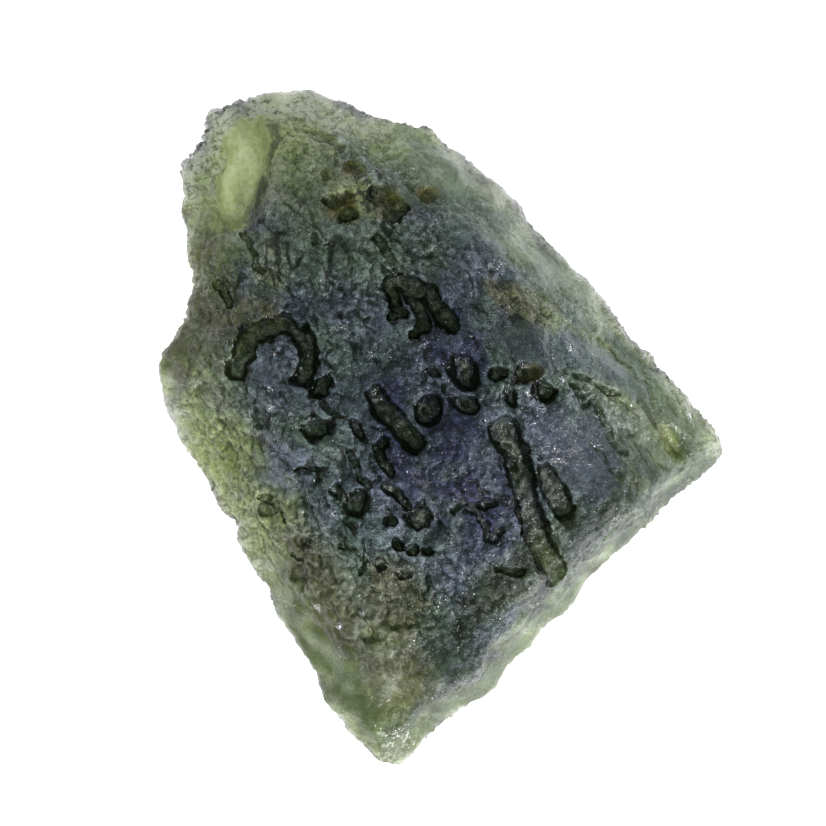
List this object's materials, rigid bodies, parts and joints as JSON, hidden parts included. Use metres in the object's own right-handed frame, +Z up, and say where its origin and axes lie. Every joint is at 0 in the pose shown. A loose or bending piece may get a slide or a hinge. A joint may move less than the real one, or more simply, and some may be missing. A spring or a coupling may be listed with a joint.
{
  "type": "moldavite",
  "caption": "Broken piece of etched green natural glass with a domed pitted face, sloping flanks, one steep fracture and a low underside with a small flat to rest on.",
  "frame": {"origin": "on the resting surface, under the middle of the stone's box", "axes": "+Z up from the resting flat through the domed face, +Y along the stone towards its thin chipped end, +X across it towards the sharp corner beside the fracture"},
  "size_m": [0.0234, 0.028, 0.007],
  "materials": {
    "tektite_glass": "translucent dark olive-green natural glass with a lustrous etched skin, pale green where it is thin"
  },
  "bodies": {
    "root": {"moldavite": "tektite_glass"}
  },
  "joints": []
}
